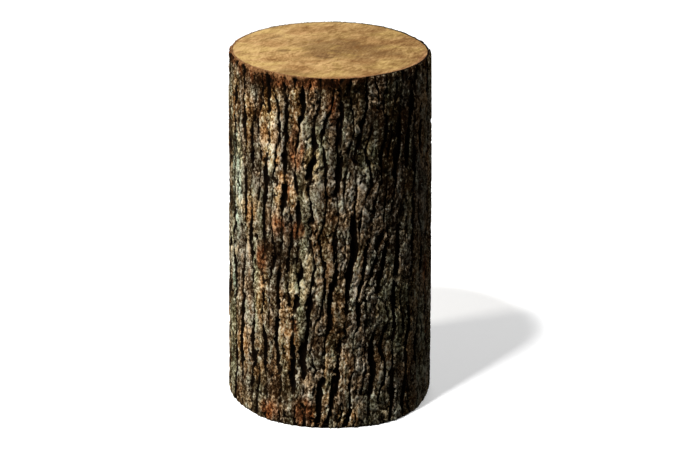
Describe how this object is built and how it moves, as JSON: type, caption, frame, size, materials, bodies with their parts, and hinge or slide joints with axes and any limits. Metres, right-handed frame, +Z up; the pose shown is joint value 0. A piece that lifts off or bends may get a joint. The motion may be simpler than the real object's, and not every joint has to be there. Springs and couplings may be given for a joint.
{
  "type": "upright log section",
  "caption": "Section of tree log with ridged bark, sawn flat at both ends, standing upright as a stump stool, pedestal or prop.",
  "frame": {"origin": "middle of the lower saw cut, on the ground", "axes": "+Z up along the log's length, towards the upper saw cut; +X to the right and -Y towards the viewer of the picture"},
  "size_m": [0.287, 0.2894, 0.5],
  "materials": {
    "bark": "rough ridged bark, grey-brown ridges and near-black furrows",
    "cut_wood": "dry saw-cut end grain, matt"
  },
  "bodies": {
    "root": {"log": "bark"}
  },
  "joints": []
}
